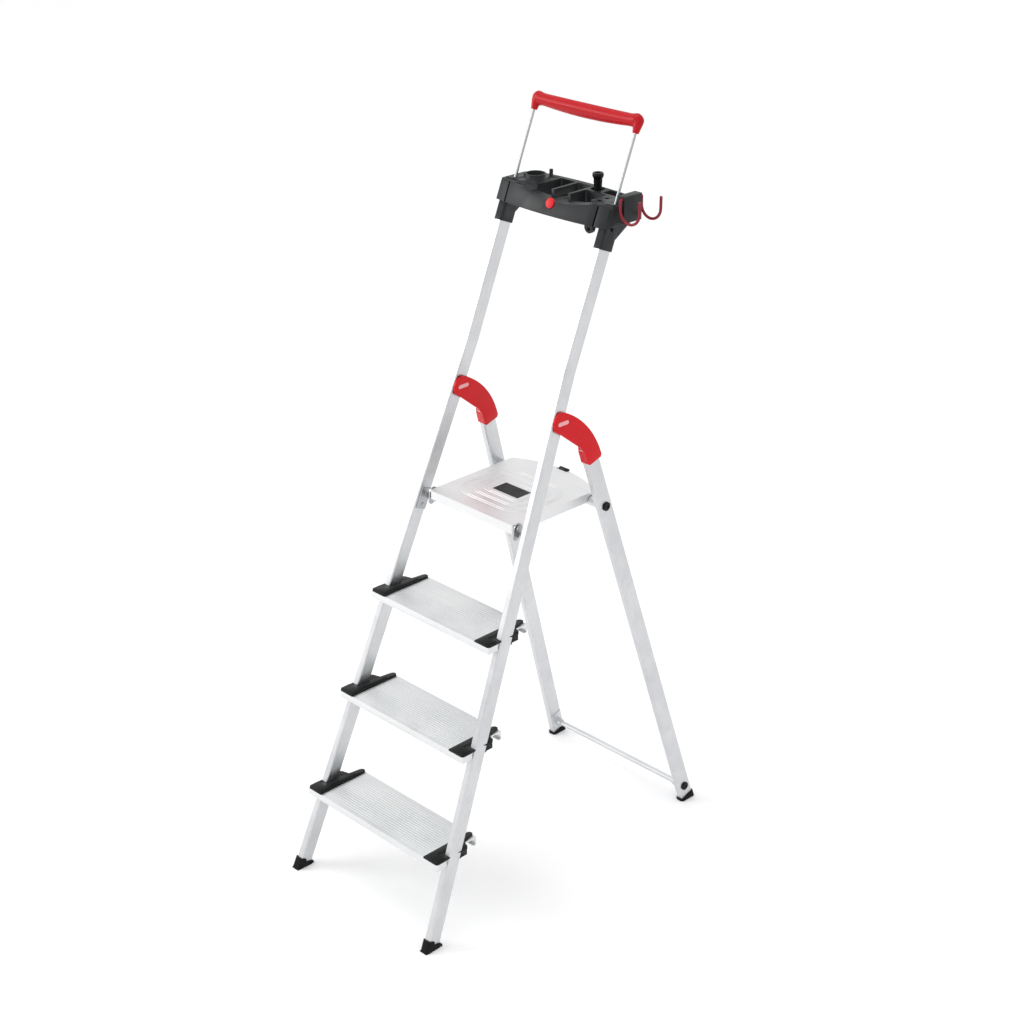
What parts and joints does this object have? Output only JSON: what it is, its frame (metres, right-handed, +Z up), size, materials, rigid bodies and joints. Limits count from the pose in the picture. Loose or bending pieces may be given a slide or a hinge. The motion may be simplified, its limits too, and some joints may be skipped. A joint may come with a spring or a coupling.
{
  "type": "step ladder",
  "caption": "Folding step ladder with ribbed treads, an embossed platform, a tool tray with a wire bucket hook and a pull-out handrail.",
  "frame": {"origin": "on the ground, midway between the feet from side to side and from front to back", "axes": "+X to the climber's right, +Y the way the climber faces, from the treads towards the rear legs, +Z up"},
  "size_m": [0.4444, 0.8584, 1.6365],
  "materials": {
    "aluminium_deck": "embossed satin",
    "aluminium_tread": "ribbed satin",
    "aluminium_tube": "satin extruded",
    "bright_rod": "bright",
    "dark_plastic": "fine grained",
    "foot_rubber": "moulded",
    "grey_plastic": "moulded",
    "red_plastic": "semi gloss",
    "red_wire": "powder coated",
    "zinc_steel": "zinc plated"
  },
  "bodies": {
    "front_frame": {"stile_left": "aluminium_tube", "stile_right": "aluminium_tube", "tread_1": "aluminium_tread", "tread_2": "aluminium_tread", "tread_3": "aluminium_tread", "cap_left_1": "dark_plastic", "cap_left_2": "dark_plastic", "cap_left_3": "dark_plastic", "cap_right_1": "dark_plastic", "cap_right_2": "dark_plastic", "cap_right_3": "dark_plastic", "cap_rivets": "zinc_steel", "front_foot_left": "foot_rubber", "front_foot_right": "foot_rubber", "platform_bracket_left": "aluminium_tube", "platform_bracket_right": "aluminium_tube", "bracket_rivets": "zinc_steel", "tray": "dark_plastic", "tray_screws": "zinc_steel", "tray_badge": "red_plastic", "reel_post": "dark_plastic"},
    "rear_frame": {"leg_left": "aluminium_tube", "leg_right": "aluminium_tube", "hinge_left": "red_plastic", "hinge_right": "red_plastic", "hinge_pins": "zinc_steel", "cross_tube": "aluminium_tube", "tube_bolts": "dark_plastic", "crossbar": "aluminium_tube", "crossbar_brackets": "aluminium_tube", "crossbar_bolts": "dark_plastic", "rear_foot_left": "foot_rubber", "rear_foot_right": "foot_rubber"},
    "platform": {"deck": "aluminium_deck", "deck_plate": "dark_plastic", "tube_hooks": "grey_plastic", "deck_pivots": "zinc_steel", "latch_pin": "zinc_steel", "latch_spring": "zinc_steel"},
    "latch": {"latch_lever": "dark_plastic"},
    "handrail": {"grip": "red_plastic", "rods": "bright_rod", "rod_glides": "dark_plastic"},
    "bucket_hook": {"wire_hook": "red_wire"}
  },
  "joints": [
    {"name": "rear_fold", "type": "hinge", "parent": "front_frame", "child": "rear_frame", "pos_m": [0, 0.02439, 1.0462], "axis": [-1, 0, 0], "range_deg": [0, 39.36]},
    {"name": "platform_lift", "type": "hinge", "parent": "front_frame", "child": "platform", "pos_m": [0, -0.06854, 0.8317], "axis": [1, 0, 0], "range_deg": [0, 67.8]},
    {"name": "latch_turn", "type": "hinge", "parent": "platform", "child": "latch", "pos_m": [0, 0.17989, 0.8302], "axis": [1, 0, 0], "range_deg": [0, 18], "stiffness_Nm_per_rad": 0.05, "springref_deg": -14.32},
    {"name": "handrail_slide", "type": "slide", "parent": "front_frame", "child": "handrail", "axis": [0, 0.3778, 0.9259], "range_m": [-0.13, 0]},
    {"name": "hook_swing", "type": "hinge", "parent": "front_frame", "child": "bucket_hook", "pos_m": [0.16695, 0.20839, 1.4812], "axis": [0, -1, 0], "range_deg": [0, 90]}
  ],
  "couplings": [
    {"joint": "platform_lift", "follows": "rear_fold", "ratio": 1.7227}
  ]
}
